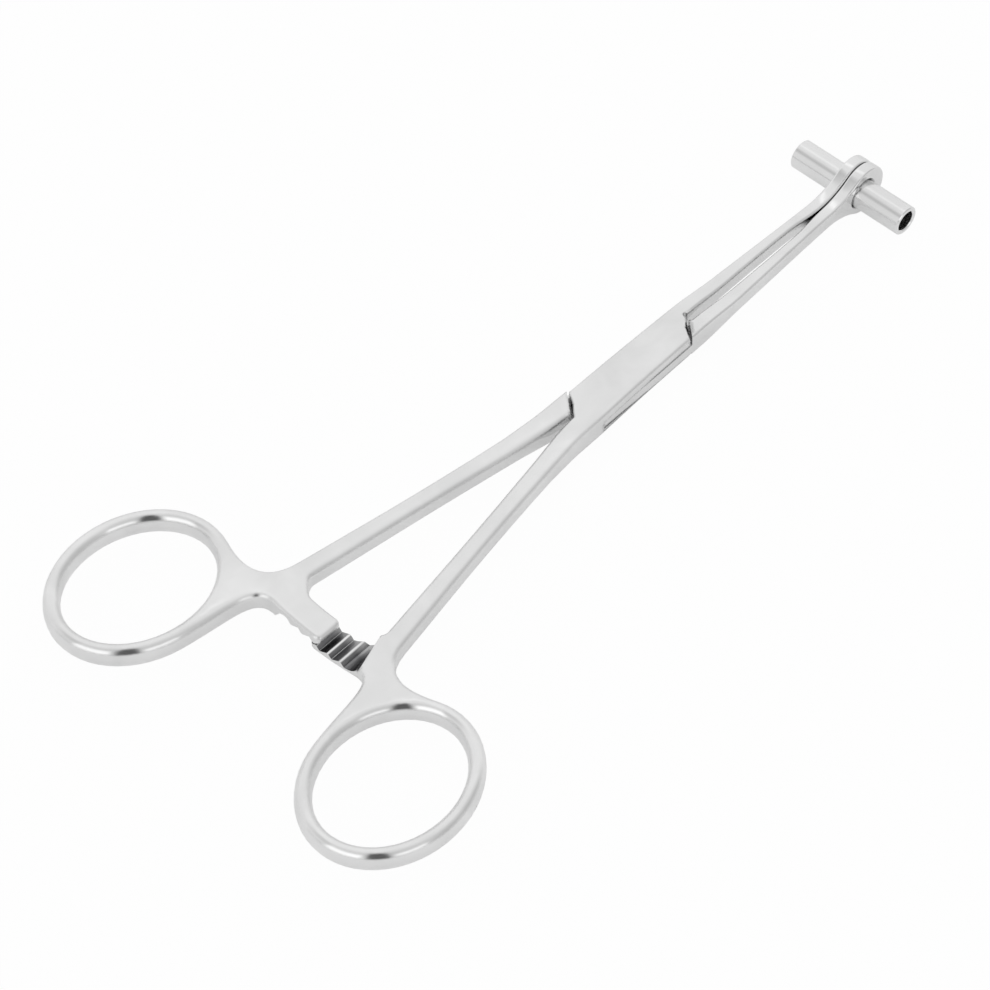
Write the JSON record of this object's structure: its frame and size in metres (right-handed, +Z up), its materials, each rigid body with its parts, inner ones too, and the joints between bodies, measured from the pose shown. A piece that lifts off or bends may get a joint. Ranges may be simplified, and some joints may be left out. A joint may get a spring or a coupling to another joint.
{
  "type": "piercing forceps",
  "caption": "Ring-handled piercing forceps in polished steel, with a box lock, a toothed ratchet and round paddle jaws that carry receiving tubes.",
  "frame": {"origin": "middle of the bottom of the whole instrument's box, jaws closed", "axes": "+X along the instrument towards the jaws, +Y to the left seen from above, +Z up, along the lock pin"},
  "size_m": [0.1558, 0.0776, 0.0088],
  "materials": {
    "forged_steel": "forged stainless steel, mirror polished",
    "pin_steel": "stainless steel pin, ground and polished flush",
    "tube_steel": "turned stainless steel tube, polished"
  },
  "bodies": {
    "female": {"female_half": "forged_steel", "lock_pin": "pin_steel", "left_tube": "tube_steel"},
    "male": {"male_half": "forged_steel", "right_tube": "tube_steel"}
  },
  "joints": [
    {"name": "lock_hinge", "type": "hinge", "parent": "female", "child": "male", "pos_m": [0.0183, 0, 0.0044], "axis": [0, 0, -1], "range_deg": [0, 60]}
  ]
}
